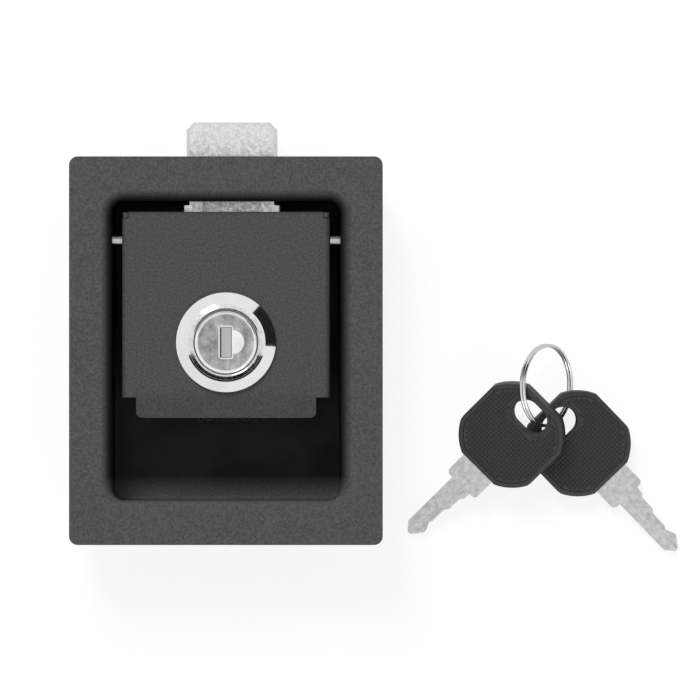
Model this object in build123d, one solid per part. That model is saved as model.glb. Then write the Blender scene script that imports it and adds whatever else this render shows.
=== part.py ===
from build123d import *
import os
from math import cos, radians, sin

# Flush paddle latch with a key-locked slam bolt, and its two keys on a split ring.
#
# The latch lies on its back.  +Z points out of its face, towards the hand, +Y is the way
# the bolt points and +X is to the right of someone who faces it.  The origin is in the
# middle of the flange's back, on the plane that seats on the door skin.  Millimetres.

# ---- Sheet, fits and clearances -----------------------------------------------------
SHEET = 1.5             # pan and paddle sheet
PLATED_SHEET = 1.0      # bolt guide and cam keeper sheet
RUN_FIT = 0.08          # radial clearance of whatever turns in a hole
FIXED_FIT = 0.05        # radial clearance of whatever is fastened in a hole
SLIDE_GAP = 0.25        # clearance beside and behind the bolt
SEAT_GAP = 0.1          # gap between parts that rest on each other across a joint
FREE_PLAY = 0.3         # lost motion between the tongue and the bolt

# ---- Pan: one drawn sheet with a flat flange and a deep well ------------------------
FLANGE_W = 90.0
FLANGE_H = 111.5
FLANGE_CORNER = 2.5
RIM_SIDE = 10.0         # flat rim beside the mouth
RIM_END = 10.5          # flat rim above and below the mouth
MOUTH_ROLL = 2.2        # outer radius of the bend from flange to wall
WELL_CORNER = 3.5       # inner radius of the upright corners
WELL_DEPTH = 26.5       # from the door skin to the inner floor
FLOOR_BEND = 1.0        # inner radius between walls and floor

# ---- Weld studs on the back of the flange -------------------------------------------
STUD_R = 2.5
STUD_LENGTH = 20.0
STUD_TIP = 0.6
STUD_INSET = 5.0        # from the flange's side edge
STUD_INSET_END = 5.2    # from the flange's top and bottom edges

# ---- Hinge pin and its clip ---------------------------------------------------------
PIN_R = 1.6
PIVOT_TO_WALL = 11.15   # from the well's top wall to the pin's axis
PIVOT_DEPTH = 6.5       # from the door skin to the pin's axis
PIN_HEAD_R = 3.0
PIN_HEAD_T = 1.2
PIN_TAIL = 2.6          # length outside the wall at the clip's end
CLIP_T = 0.6
CLIP_R = 3.4
GROOVE_R = 1.15

# ---- Paddle: one folded sheet -------------------------------------------------------
PADDLE_GAP = 2.95       # beside the paddle, to the well's walls
PADDLE_SINK = 1.5       # face of the paddle below the face of the flange
ABOVE_PIVOT = 8.0       # from the pin's axis to the top edge
BODY_LENGTH = 53.3      # from the top edge to the shoulders
SIDE_BEND = 1.9         # outer radius of the folded edges
SIDE_DEPTH = 12.0       # side flanges at the pin, from the face
SIDE_TAPER = 6.0        # side flanges at the shoulders, from the face
LIP_STEP = 4.0          # shoulder beside the lip
LIP_LENGTH = 6.6        # along the bent sheet
LIP_ROOT = 12.0         # flat sheet drawn with the lip and joined to the face
BEND_ROOT = 10.0        # where the top flange's and the tongue's flat sheet begins
LIP_BEND = 9.0          # radius of the lip's gentle bend
LIP_ANGLE = 24.0        # degrees, towards the floor
LIP_CORNER = 1.8
TOP_FLANGE = 5.5        # depth of the flange along the top edge, from the face
TONGUE_W = 16.4
TONGUE_REACH = 14.0     # how far the tongue reaches behind the pin's axis
PADDLE_SWING = 38.0     # degrees

# ---- Bolt, its guide and springs ----------------------------------------------------
BOLT_X = 1.5            # the bolt runs a little to the right of the middle
BOLT_W = 26.2
BOLT_T = 10.0
BOLT_PROUD = 10.2       # nose beyond the flange's edge
TAIL_TO_PIVOT = 2.9     # bolt's tail below the pin's axis, at rest
BOLT_TRAVEL = 10.0
NOSE_CHAMFER = 2.1      # corners of the nose, seen from the front
NOSE_LAND = 2.6         # blunt tip left by the slam ramp
RAMP_LENGTH = 11.0      # slam ramp along the back of the nose
RAMP_SWELL = 0.9        # how far the ramp's curve stands out of a straight line
FACE_BEVEL = 2.3        # bevel along the bolt's front edges, seen from the front
FACE_BEVEL_T = 0.9      # the same bevel's depth
POCKET_FLOOR = 2.3      # bolt left behind the tongue's pocket
POCKET_LENGTH = 8.0
SPRING_HOLE_R = 3.5
SPRING_HOLE_DEPTH = 7.5
SPRING_SPREAD = 7.5     # each spring's axis from the bolt's middle
SPRING_ROOM = 13.0      # from the guide's end wall to the bolt's tail
SPRING_COIL_R = 2.7     # mean radius of the bolt springs
SPRING_WIRE = 0.7
SPRING_TURNS = 8
LIP_REACH = 1.9         # the guide's lips over the bolt
LIP_FROM_PIVOT = 4.1    # start of the guide's lips above the pin's axis
CHEEK_PAST_TAIL = 1.0   # guide's side walls below the bolt's tail
END_WALL_H = 9.5
EAR_REACH = 8.5         # guide's ears beyond its side walls
EAR_LENGTH = 8.0        # along Y
WIRE_SIDES = 8          # the springs' round wire is drawn with this many sides
RIVET_R = 1.6
RIVET_HEAD_R = 2.9
RIVET_HEAD_T = 1.0

# ---- Paddle springs round the pin ---------------------------------------------------
COIL_R = 2.7            # mean radius
COIL_WIRE = 0.9
COIL_TURNS = 6          # whole turns, before the part turn that parts the legs
COIL_PITCH = 1.0
COIL_INSET = 11.85      # nearer end of each coil inside the paddle's edge
FLOOR_LEG_LEAN = 17.5   # degrees between the long leg and upright
TOP_LEG_RISE = 18.0     # degrees between the short leg and level

# ---- Lock --------------------------------------------------------------------------
LOCK_TO_SHOULDER = 15.8  # from the paddle's shoulders up to the lock's axis
RING_R = 14.3           # bevelled ring
RING_EDGE = 0.7         # upright edge of the ring
RING_H = 2.6            # height of the ring over its gasket
RING_INNER_R = 10.85
MOAT_DEPTH = 1.4        # step between the ring and the plug's cap
GASKET_T = 0.4
BARREL_R = 9.8
BARREL_FLATS = 16.8     # across the barrel's two flats
BARREL_LENGTH = 20.5    # from the paddle's face to the barrel's end
NUT_AF = 25.0
NUT_T = 4.0
WASHER_T = 0.8
WASHER_R = 12.2
CAP_R = 8.95            # plug's bright face
CAP_T = 0.8
CAP_SKIRT = 2.6
CAP_PROUD = 0.1         # cap above the ring's rim, less than nothing if sunk
CAP_EDGE = 0.5
PLUG_R = 7.0
SLOT_W = 3.4
SLOT_H = 8.8
MOON_R = 3.7            # half-moon recess beside the slot
MOON_DEPTH = 0.35
KEYWAY_W = 2.7
KEYWAY_H = 7.3
KEYWAY_DEPTH = 20.0
SHUTTER_T = 0.5
SHUTTER_DROP = 1.0      # shutter below the cap's face
SHUTTER_ROOM = 4.6      # depth of the shutter's chamber under the cap's face
SHUTTER_GAP = 0.15
TRUNNION_R = 0.42
TRUNNION_L = 0.7
WAFERS = 5
WAFER_T = 0.9
WAFER_W = 6.2
WAFER_H = 12.6
WAFER_PITCH = 2.3
WAFER_GAP = 0.08
CAM_T = 1.8
CAM_W = 9.0
CAM_HUB_R = 6.2
CAM_REACH = 14.0
TAIL_SIDE = 7.0         # square tail of the plug
SCREW_R = 2.0
SCREW_DEPTH = 6.0
SCREW_HEAD_R = 4.0
SCREW_HEAD_T = 2.3
PLUG_TURN = 90.0        # degrees

# ---- Cam keeper --------------------------------------------------------------------
KEEPER_W = 18.0
KEEPER_GAP = 0.6        # between the cam and the keeper's lip
KEEPER_LIP = 4.9
KEEPER_FOOT = 6.2
KEEPER_CLEAR = 1.9      # from the cam's tip to the keeper's upright
KEEPER_RIVETS = 11.0    # spacing

# ---- Keys and split ring -----------------------------------------------------------
HEAD_R = 15.3
HEAD_FLATS = 27.6
HEAD_T = 5.4
HEAD_BORDER = 1.3       # raised border round the grip
HEAD_SINK = 0.5         # grip below the border
HEAD_EDGE = 0.5
HEAD_CORNER = 1.5
HOLE_L = 11.0
HOLE_W = 8.0
HOLE_FROM_CENTRE = 7.9
BLADE_T = 2.2
BLADE_H = 6.8
BLADE_LENGTH = 28.5     # out of the head
SHOULDER_H = 11.4
SHOULDER_LENGTH = 7.4
BLADE_ROOT = 6.0        # length of blade inside the head
SHOULDER_EDGE = 0.8     # small chamfer on the shoulder's corners
BITTING = ((0.0, -0.2), (2.4, 0.0), (3.2, 0.8), (7.6, 0.9), (8.6, 1.7), (13.6, 1.8), (14.8, 2.5))
NOSE = ((3.6, 1.2), (3.0, 1.4), (0.0, 3.6), (0.0, 4.7))
NOSE_BACK = 2.4         # slope of the nose on the straight edge
GROOVE_W = 1.5
GROOVE_DEPTH = 0.6
RING_MEAN_R = 11.6
RING_WIRE_R = 0.5
RING_TILT = 52.4        # degrees from level
RING_HEADING = -2.4     # degrees, the way the ring slopes down
RING_SLACK = 1.7        # how far the ring hangs through beyond the holes' middles
LEFT_KEY_XY = (82.4, -24.2)
LEFT_KEY_HEADING = -135.0
LEFT_KEY_TILT = 14.2    # degrees, tip on the table and head on the other key
RIGHT_KEY_XY = (101.5, -26.8)
RIGHT_KEY_HEADING = -46.0
RIGHT_KEY_TILT = 5.4    # degrees, tip on the table and head on the ring

# ---- Places that follow from the sizes above ----------------------------------------
WELL_W = FLANGE_W - 2 * (RIM_SIDE + MOUTH_ROLL)
WELL_H = FLANGE_H - 2 * (RIM_END + MOUTH_ROLL)
FLOOR_Z = -WELL_DEPTH
FLOOR_BACK_Z = FLOOR_Z - SHEET
TABLE_Z = FLOOR_BACK_Z - RIVET_HEAD_T
PADDLE_W = WELL_W - 2 * PADDLE_GAP
LIP_W = PADDLE_W - 2 * LIP_STEP
COIL_INNER_X = PADDLE_W / 2 - COIL_INSET
PIVOT_Y = WELL_H / 2 - PIVOT_TO_WALL
PIVOT_Z = -PIVOT_DEPTH
FACE_Z = SHEET - PADDLE_SINK
PADDLE_TOP_Y = PIVOT_Y + ABOVE_PIVOT
SHOULDER_Y = PADDLE_TOP_Y - BODY_LENGTH
LOCK_Y = SHOULDER_Y + LOCK_TO_SHOULDER
BOLT_TAIL = PIVOT_Y - TAIL_TO_PIVOT
SPRING_SEAT_Y = BOLT_TAIL - SPRING_ROOM
LIP_START = PIVOT_Y + LIP_FROM_PIVOT
CHEEK_START = BOLT_TAIL - CHEEK_PAST_TAIL
TONGUE_TIP_Z = PIVOT_Z - TONGUE_REACH
GUIDE_FLOOR_Z = FLOOR_Z + PLATED_SHEET
BOLT_BACK_Z = GUIDE_FLOOR_Z + SLIDE_GAP
BOLT_FRONT_Z = BOLT_BACK_Z + BOLT_T
BOLT_TIP_Y = FLANGE_H / 2 + BOLT_PROUD
GUIDE_INNER = BOLT_W / 2 + SLIDE_GAP
GUIDE_OUTER = GUIDE_INNER + PLATED_SHEET
GUIDE_END_Y = WELL_H / 2 - FLOOR_BEND - SEAT_GAP
POCKET_LOW_Y = PADDLE_TOP_Y - SHEET - FREE_PLAY
RING_SEAT_Z = FACE_Z + GASKET_T
RING_TOP_Z = RING_SEAT_Z + RING_H
CAP_TOP_Z = RING_TOP_Z + CAP_PROUD
BARREL_END_Z = FACE_Z - BARREL_LENGTH
CAM_TOP_Z = BARREL_END_Z - FREE_PLAY
CAM_LOW_Z = CAM_TOP_Z - CAM_T


def upright(width, height, corner, low, high):
    """Block with rounded upright corners, centred on the pan's axis."""
    return Pos(0, 0, low) * extrude(RectangleRounded(width, height, corner), high - low)


def across(radius, length, x, y, z):
    """Cylinder that lies along X, with its middle at x."""
    return Pos(x, y, z) * Rot(0, 90, 0) * Cylinder(radius, length)


def side_profile(sketch, width, x=0.0):
    """Extrude a sketch drawn in Y and Z across X, centred on x."""
    return Pos(x, 0, 0) * extrude(Plane.YZ * sketch, width / 2, both=True)


def bent_strip(points, radius, thickness, side=Side.LEFT):
    """Section of a bent sheet: a filleted line with the sheet on one side of it."""
    line = FilletPolyline(*points, radius=radius)
    return make_face(offset(line, thickness, side=side, closed=True).edges())


def stud_places():
    """The four studs sit inside the flange's corners."""
    x = FLANGE_W / 2 - STUD_INSET
    y = FLANGE_H / 2 - STUD_INSET_END
    return [(-x, -y), (x, -y), (x, y), (-x, y)]


def guide_rivet_places():
    """One rivet in each ear of the guide."""
    x = GUIDE_OUTER + EAR_REACH / 2
    y = SPRING_SEAT_Y + EAR_LENGTH / 2 + PLATED_SHEET
    return [(BOLT_X - x, y), (BOLT_X + x, y)]


def keeper_rivet_places():
    """Two rivets in the keeper's foot."""
    y = keeper_back_y() - KEEPER_FOOT / 2 - PLATED_SHEET / 2
    return [(-KEEPER_RIVETS / 2, y), (KEEPER_RIVETS / 2, y)]


def keeper_back_y():
    """Lower face of the keeper's upright."""
    return LOCK_Y - CAM_REACH - KEEPER_CLEAR - PLATED_SHEET


# ---- Pan ---------------------------------------------------------------------------
def make_pan():
    flange = upright(FLANGE_W, FLANGE_H, FLANGE_CORNER, 0, SHEET)
    tub = upright(WELL_W + 2 * SHEET, WELL_H + 2 * SHEET, WELL_CORNER + SHEET,
                  FLOOR_BACK_Z, SHEET / 2)
    tub = fillet(tub.edges().group_by(Axis.Z)[0], FLOOR_BEND + SHEET)
    body = flange + tub
    root = body.edges().filter_by_position(Axis.Z, -0.01, 0.01)
    root = root.filter_by_position(Axis.X, -WELL_W / 2 - SHEET, WELL_W / 2 + SHEET)
    root = root.filter_by_position(Axis.Y, -WELL_H / 2 - SHEET, WELL_H / 2 + SHEET)
    body = fillet(root, MOUTH_ROLL - SHEET)
    well = upright(WELL_W, WELL_H, WELL_CORNER, FLOOR_Z, 2 * SHEET)
    body -= fillet(well.edges().group_by(Axis.Z)[0], FLOOR_BEND)
    mouth = body.faces().sort_by(Axis.Z)[-1].inner_wires()[0].edges()
    body = fillet(mouth, MOUTH_ROLL)
    body -= across(PIN_R + FIXED_FIT, FLANGE_W, 0, PIVOT_Y, PIVOT_Z)
    window_low = GUIDE_FLOOR_Z
    window_high = BOLT_FRONT_Z + SLIDE_GAP
    body -= Pos(BOLT_X, WELL_H / 2 + SHEET / 2, (window_low + window_high) / 2) * Box(
        2 * GUIDE_INNER, 3 * SHEET, window_high - window_low)
    for x, y in guide_rivet_places() + keeper_rivet_places():
        body -= Pos(x, y, FLOOR_Z) * Cylinder(RIVET_R + FIXED_FIT, 4 * SHEET)
    return body


def make_studs():
    studs = []
    for x, y in stud_places():
        stud = Pos(x, y, -STUD_LENGTH / 2) * Cylinder(STUD_R, STUD_LENGTH)
        studs.append(chamfer(stud.edges().group_by(Axis.Z)[0], STUD_TIP))
    return studs


# ---- Hinge pin and clip ------------------------------------------------------------
def clip_x():
    """Inner face of the clip, just outside the pan's right wall."""
    return WELL_W / 2 + SHEET + SEAT_GAP


def make_pin():
    start = -WELL_W / 2 - SHEET - SEAT_GAP
    end = WELL_W / 2 + SHEET + PIN_TAIL
    pin = across(PIN_R, end - start, (start + end) / 2, PIVOT_Y, PIVOT_Z)
    pin = chamfer(pin.edges().group_by(Axis.X)[-1], PIN_R / 5)
    head = across(PIN_HEAD_R, PIN_HEAD_T, start - PIN_HEAD_T / 2, PIVOT_Y, PIVOT_Z)
    head = fillet(head.edges().group_by(Axis.X)[0], PIN_HEAD_T / 2)
    groove_w = CLIP_T + 2 * FIXED_FIT
    ring = across(2 * PIN_R, groove_w, clip_x() + CLIP_T / 2, PIVOT_Y, PIVOT_Z)
    ring -= across(GROOVE_R, 2 * groove_w, clip_x() + CLIP_T / 2, PIVOT_Y, PIVOT_Z)
    return pin + head - ring


def make_clip():
    """E-clip: an open ring with three prongs that reach into the pin's groove."""
    ring = Circle(CLIP_R) - Circle(CLIP_R - 1.0)
    prong = Rectangle(CLIP_R - GROOVE_R - FIXED_FIT, 1.3, align=(Align.MAX, Align.CENTER))
    for angle in (0, 90, 180):
        ring += Rot(0, 0, angle) * Pos(CLIP_R - 0.2, 0) * prong
    ring -= Circle(GROOVE_R + FIXED_FIT)
    mouth = Pos(0, -CLIP_R) * Rectangle(2 * GROOVE_R + 0.6, 2 * CLIP_R - 1.6)
    ring -= mouth
    return Pos(clip_x() + FIXED_FIT, PIVOT_Y, PIVOT_Z) * extrude(Plane.YZ * ring, CLIP_T)


# ---- Paddle ------------------------------------------------------------------------
def make_paddle():
    half = PADDLE_W / 2
    edge_start = PADDLE_TOP_Y - SIDE_BEND
    channel = bent_strip([(-half, -SIDE_DEPTH), (-half, 0), (half, 0), (half, -SIDE_DEPTH)],
                         SIDE_BEND, SHEET, Side.RIGHT)
    channel = Pos(0, 0, FACE_Z) * extrude(Plane.XZ * channel, -edge_start)
    channel -= Pos(0, -FLANGE_H + SHOULDER_Y, 0) * Box(2 * FLANGE_W, 2 * FLANGE_H, 4 * WELL_DEPTH)
    keep = Polyline((SHOULDER_Y, FACE_Z), (edge_start, FACE_Z),
                    (edge_start, FACE_Z - SIDE_DEPTH + 3), (edge_start - 3, FACE_Z - SIDE_DEPTH),
                    (PIVOT_Y - 8, FACE_Z - SIDE_DEPTH), (SHOULDER_Y, FACE_Z - SIDE_TAPER),
                    close=True)
    channel &= side_profile(make_face(keep), 2 * PADDLE_W)
    flat_w = PADDLE_W - 2 * SIDE_BEND
    top = bent_strip([(SHOULDER_Y + BEND_ROOT, FACE_Z), (PADDLE_TOP_Y, FACE_Z),
                      (PADDLE_TOP_Y, FACE_Z - TOP_FLANGE)], SIDE_BEND, SHEET, Side.RIGHT)
    tongue = bent_strip([(SHOULDER_Y + BEND_ROOT, FACE_Z), (PADDLE_TOP_Y, FACE_Z),
                         (PADDLE_TOP_Y, TONGUE_TIP_Z)], SIDE_BEND, SHEET, Side.RIGHT)
    bend = radians(LIP_ANGLE)
    knee_y = SHOULDER_Y + 1.5
    tip = (knee_y - (LIP_LENGTH + 1.5) * cos(bend), FACE_Z - (LIP_LENGTH + 1.5) * sin(bend))
    lip = bent_strip([(SHOULDER_Y + LIP_ROOT, FACE_Z), (knee_y, FACE_Z), tip], LIP_BEND, SHEET)
    lip = side_profile(lip, LIP_W)
    corners = lip.edges().filter_by(Axis.X, reverse=True).group_by(Axis.Y)[0]
    lip = fillet(corners, LIP_CORNER)
    body = channel + side_profile(top, flat_w) + side_profile(tongue, TONGUE_W, BOLT_X) + lip
    body -= Pos(0, LOCK_Y, FACE_Z) * extrude(barrel_section(FIXED_FIT), SHEET * 2, both=True)
    body -= across(PIN_R + RUN_FIT, 2 * PADDLE_W, 0, PIVOT_Y, PIVOT_Z)
    return body


# ---- Lock --------------------------------------------------------------------------
def barrel_section(grow=0.0):
    """Round barrel with two flats, seen along its axis."""
    return Circle(BARREL_R + grow) & Rectangle(BARREL_FLATS + 2 * grow, 4 * BARREL_R)


def on_lock_axis(shape):
    return Pos(0, LOCK_Y, 0) * shape


def turned(points):
    """Solid turned about Z from a section drawn as radius and height."""
    return revolve(Plane.XZ * make_face(Polyline(*points, close=True)), Axis.Z)


def make_housing():
    moat_z = RING_TOP_Z - MOAT_DEPTH
    cap_bore = CAP_R + RUN_FIT
    step_z = CAP_TOP_Z - CAP_SKIRT - SEAT_GAP
    head = turned([(PLUG_R + RUN_FIT, RING_SEAT_Z), (RING_R, RING_SEAT_Z),
                   (RING_R, RING_SEAT_Z + RING_EDGE), (RING_INNER_R + 0.5, RING_TOP_Z),
                   (RING_INNER_R, RING_TOP_Z - 0.2), (RING_INNER_R, moat_z),
                   (cap_bore, moat_z), (cap_bore, step_z), (PLUG_R + RUN_FIT, step_z)])
    barrel = Pos(0, 0, BARREL_END_Z) * extrude(barrel_section(), RING_SEAT_Z - BARREL_END_Z)
    barrel -= Pos(0, 0, BARREL_END_Z) * Cylinder(PLUG_R + RUN_FIT, 4 * BARREL_LENGTH)
    return on_lock_axis(head + barrel)


def make_gasket():
    ring = Circle(RING_R - 0.2) - Circle(BARREL_R + FIXED_FIT)
    return on_lock_axis(Pos(0, 0, FACE_Z) * extrude(ring, GASKET_T))


def make_washer():
    ring = Circle(WASHER_R) - Circle(BARREL_R + FIXED_FIT)
    return on_lock_axis(Pos(0, 0, FACE_Z - SHEET - WASHER_T) * extrude(ring, WASHER_T))


def make_nut():
    section = RegularPolygon(NUT_AF / 2, 6, major_radius=False) - Circle(BARREL_R + FIXED_FIT)
    low = FACE_Z - SHEET - WASHER_T - NUT_T
    nut = Pos(0, 0, low) * extrude(section, NUT_T)
    cone_top = turned([(0, low + NUT_T), (0, low - 4), (NUT_AF, low - 4),
                       (NUT_AF / 2 + 6, low), (NUT_AF / 2 - 0.3, low + NUT_T)])
    return on_lock_axis(nut & cone_top)


def keyway_cut(width, height, low, high):
    return Pos(0, 0, low) * extrude(Rectangle(width, height), high - low)


def make_cap():
    """Bright stamped cap over the plug's head, with the key slot and the half-moon."""
    low = CAP_TOP_Z - CAP_SKIRT
    cap = Pos(0, 0, low) * extrude(Circle(CAP_R), CAP_SKIRT)
    cap = fillet(cap.edges().group_by(Axis.Z)[-1], CAP_EDGE)
    cap -= Pos(0, 0, low) * extrude(Circle(CAP_R - 0.5), CAP_SKIRT - CAP_T)
    cap -= keyway_cut(SLOT_W, SLOT_H, low, CAP_TOP_Z + 1)
    moon = Circle(MOON_R) & Rectangle(MOON_R, 2 * MOON_R, align=(Align.MIN, Align.CENTER))
    moon = Pos(SLOT_W / 2, 0, CAP_TOP_Z - MOON_DEPTH) * extrude(moon, 1)
    return on_lock_axis(cap - moon)


def shutter_axis():
    """X and Z of the shutter's trunnions, in the left side of the slot."""
    x = -SLOT_W / 2 + TRUNNION_R + SHUTTER_GAP
    return x, CAP_TOP_Z - CAP_T - SHUTTER_GAP - TRUNNION_R


def make_shutter():
    """Spring flap that closes the key slot, turning on two trunnions."""
    x, z = shutter_axis()
    length = SLOT_H - 2 * SHUTTER_GAP
    reach = SLOT_W - TRUNNION_R - 2 * SHUTTER_GAP
    plate = Pos(x, -length / 2, z + TRUNNION_R - SHUTTER_T) * Box(
        reach, length, SHUTTER_T, align=(Align.MIN, Align.MIN, Align.MIN))
    barrel = Pos(x, 0, z) * Rot(90, 0, 0) * Cylinder(TRUNNION_R, length + 2 * TRUNNION_L)
    return on_lock_axis(plate + barrel)


def wafer_levels():
    """Middle height of each wafer, from the front."""
    first = CAP_TOP_Z - SHUTTER_ROOM - 2.0
    return [first - i * WAFER_PITCH for i in range(WAFERS)]


def make_plug():
    head_top = CAP_TOP_Z - CAP_T
    head_low = CAP_TOP_Z - CAP_SKIRT
    tail_low = CAM_LOW_Z
    plug = turned([(0, tail_low + CAM_T + FREE_PLAY), (PLUG_R, tail_low + CAM_T + FREE_PLAY),
                   (PLUG_R, head_low), (CAP_R - 0.5 - FIXED_FIT, head_low),
                   (CAP_R - 0.5 - FIXED_FIT, head_top), (0, head_top)])
    plug += Pos(0, 0, tail_low) * extrude(Rectangle(TAIL_SIDE, TAIL_SIDE), CAM_T + 1)
    plug -= keyway_cut(SLOT_W, SLOT_H, CAP_TOP_Z - SHUTTER_ROOM, CAP_TOP_Z)
    plug -= keyway_cut(KEYWAY_W, KEYWAY_H, CAP_TOP_Z - KEYWAY_DEPTH, CAP_TOP_Z)
    x, z = shutter_axis()
    plug -= Pos(x, 0, z) * Rot(90, 0, 0) * Cylinder(
        TRUNNION_R + RUN_FIT, SLOT_H + 2 * TRUNNION_L + SHUTTER_GAP)
    for level in wafer_levels():
        plug -= Pos(0, 0, level) * Box(WAFER_W + 2 * WAFER_GAP, 4 * PLUG_R,
                                       WAFER_T + 2 * WAFER_GAP)
    plug -= Pos(0, 0, tail_low) * Cylinder(SCREW_R + FIXED_FIT, 2 * SCREW_DEPTH)
    return on_lock_axis(plug)


def make_wafers():
    """Flat tumblers, each with a window for the key's blade."""
    wafers = []
    outline = Rectangle(WAFER_W, WAFER_H) & Circle(PLUG_R - WAFER_GAP)
    outline -= Rectangle(KEYWAY_W, KEYWAY_H)
    for level in wafer_levels():
        wafers.append(on_lock_axis(Pos(0, 0, level - WAFER_T / 2) * extrude(outline, WAFER_T)))
    return wafers


def make_cam():
    """Flat cam on the plug's square tail, pointing to the right when unlocked."""
    tip = Pos(CAM_REACH - CAM_W / 2, 0) * Circle(CAM_W / 2)
    arm = Pos((CAM_REACH - CAM_W / 2) / 2, 0) * Rectangle(CAM_REACH - CAM_W / 2, CAM_W)
    outline = Circle(CAM_HUB_R) + arm + tip
    outline -= Rectangle(TAIL_SIDE + 2 * FIXED_FIT, TAIL_SIDE + 2 * FIXED_FIT)
    return on_lock_axis(Pos(0, 0, CAM_LOW_Z) * extrude(outline, CAM_T))


def make_cam_screw():
    head = Pos(0, 0, CAM_LOW_Z - SCREW_HEAD_T) * extrude(Circle(SCREW_HEAD_R), SCREW_HEAD_T)
    head = fillet(head.edges().group_by(Axis.Z)[0], SCREW_HEAD_T / 2)
    slot = Pos(0, 0, CAM_LOW_Z - SCREW_HEAD_T)
    head -= slot * Box(3.6, 0.9, 2.2) + slot * Box(0.9, 3.6, 2.2)
    shank = Pos(0, 0, CAM_LOW_Z) * extrude(Circle(SCREW_R), SCREW_DEPTH - SEAT_GAP)
    return on_lock_axis(head + shank)


# ---- Bolt, guide and springs -------------------------------------------------------
def spring_axis_z():
    return BOLT_BACK_Z + BOLT_T / 2


def make_bolt():
    with BuildLine() as side:
        Line((BOLT_TAIL, BOLT_BACK_Z), (BOLT_TIP_Y - RAMP_LENGTH, BOLT_BACK_Z))
        SagittaArc((BOLT_TIP_Y - RAMP_LENGTH, BOLT_BACK_Z),
                   (BOLT_TIP_Y, BOLT_FRONT_Z - NOSE_LAND), -RAMP_SWELL)
        Line((BOLT_TIP_Y, BOLT_FRONT_Z - NOSE_LAND), (BOLT_TIP_Y, BOLT_FRONT_Z))
        Line((BOLT_TIP_Y, BOLT_FRONT_Z), (BOLT_TAIL, BOLT_FRONT_Z))
        Line((BOLT_TAIL, BOLT_FRONT_Z), (BOLT_TAIL, BOLT_BACK_Z))
    body = side_profile(make_face(side.line), BOLT_W, BOLT_X)
    mid_y = (BOLT_TAIL + BOLT_TIP_Y) / 2
    plan = Pos(BOLT_X, mid_y) * Rectangle(BOLT_W, BOLT_TIP_Y - BOLT_TAIL)
    plan = chamfer(plan.vertices().group_by(Axis.Y)[-1], NOSE_CHAMFER)
    body &= Pos(0, 0, BOLT_BACK_Z - 1) * extrude(plan, BOLT_T + 2)
    face = body.faces().sort_by(Axis.Z)[-1]
    rim = [e for e in face.edges() if e.center().Y > BOLT_TAIL + 0.1]
    body = chamfer(rim, FACE_BEVEL_T, FACE_BEVEL, reference=face)
    pocket_z = BOLT_BACK_Z + POCKET_FLOOR
    body -= Pos(BOLT_X, POCKET_LOW_Y + POCKET_LENGTH / 2, pocket_z) * Box(
        TONGUE_W + 2 * FREE_PLAY, POCKET_LENGTH, 2 * BOLT_T,
        align=(Align.CENTER, Align.CENTER, Align.MIN))
    for side_x in (-SPRING_SPREAD, SPRING_SPREAD):
        body -= Pos(BOLT_X + side_x, BOLT_TAIL, spring_axis_z()) * Rot(90, 0, 0) * Cylinder(
            SPRING_HOLE_R, 2 * SPRING_HOLE_DEPTH)
    return body


def make_guide():
    """Folded cage: floor with ears, end wall, two cheeks and lips over the bolt."""
    lip_z = BOLT_FRONT_Z + SLIDE_GAP + PLATED_SHEET
    inner = GUIDE_OUTER - PLATED_SHEET - LIP_REACH
    cheek = bent_strip([(-inner, lip_z), (-GUIDE_OUTER, lip_z), (-GUIDE_OUTER, FLOOR_Z),
                        (GUIDE_OUTER, FLOOR_Z), (GUIDE_OUTER, lip_z), (inner, lip_z)],
                       1.2 * PLATED_SHEET, PLATED_SHEET, Side.LEFT)
    cage = Pos(BOLT_X, GUIDE_END_Y, 0) * extrude(Plane.XZ * cheek, GUIDE_END_Y - CHEEK_START)
    cage -= Pos(BOLT_X, LIP_START, lip_z - 1.5 * PLATED_SHEET) * Box(
        4 * GUIDE_OUTER, 2 * (LIP_START - CHEEK_START), 4 * PLATED_SHEET,
        align=(Align.CENTER, Align.MAX, Align.MIN))
    end_y = SPRING_SEAT_Y - PLATED_SHEET
    floor = bent_strip([(GUIDE_END_Y, FLOOR_Z), (end_y, FLOOR_Z), (end_y, FLOOR_Z + END_WALL_H)],
                       1.2 * PLATED_SHEET, PLATED_SHEET, Side.RIGHT)
    cage += side_profile(floor, 2 * GUIDE_INNER - 1, BOLT_X)
    ear_y = SPRING_SEAT_Y + PLATED_SHEET + EAR_LENGTH / 2
    ears = Pos(BOLT_X, ear_y, FLOOR_Z) * extrude(
        RectangleRounded(2 * (GUIDE_OUTER + EAR_REACH), EAR_LENGTH, 2), PLATED_SHEET)
    cage += ears
    for x, y in guide_rivet_places():
        cage -= Pos(x, y, FLOOR_Z) * Cylinder(RIVET_R + FIXED_FIT, 4 * PLATED_SHEET)
    return cage


def rivet(x, y, grip):
    """Round-headed rivet from under the floor through the sheet that it holds."""
    top = FLOOR_Z + grip
    head = turned_head(RIVET_HEAD_R, RIVET_HEAD_T)
    shank = Pos(0, 0, FLOOR_BACK_Z) * extrude(Circle(RIVET_R), top - FLOOR_BACK_Z)
    upper = Pos(0, 0, top) * head
    lower = Pos(0, 0, FLOOR_BACK_Z) * Rot(180, 0, 0) * head
    return Pos(x, y, 0) * (shank + upper + lower)


def turned_head(radius, height):
    """Domed rivet head on the XY plane."""
    head = extrude(Circle(radius), height)
    return fillet(head.edges().group_by(Axis.Z)[-1], 0.8 * height)


def make_guide_rivets():
    return [rivet(x, y, PLATED_SHEET) for x, y in guide_rivet_places()]


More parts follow.
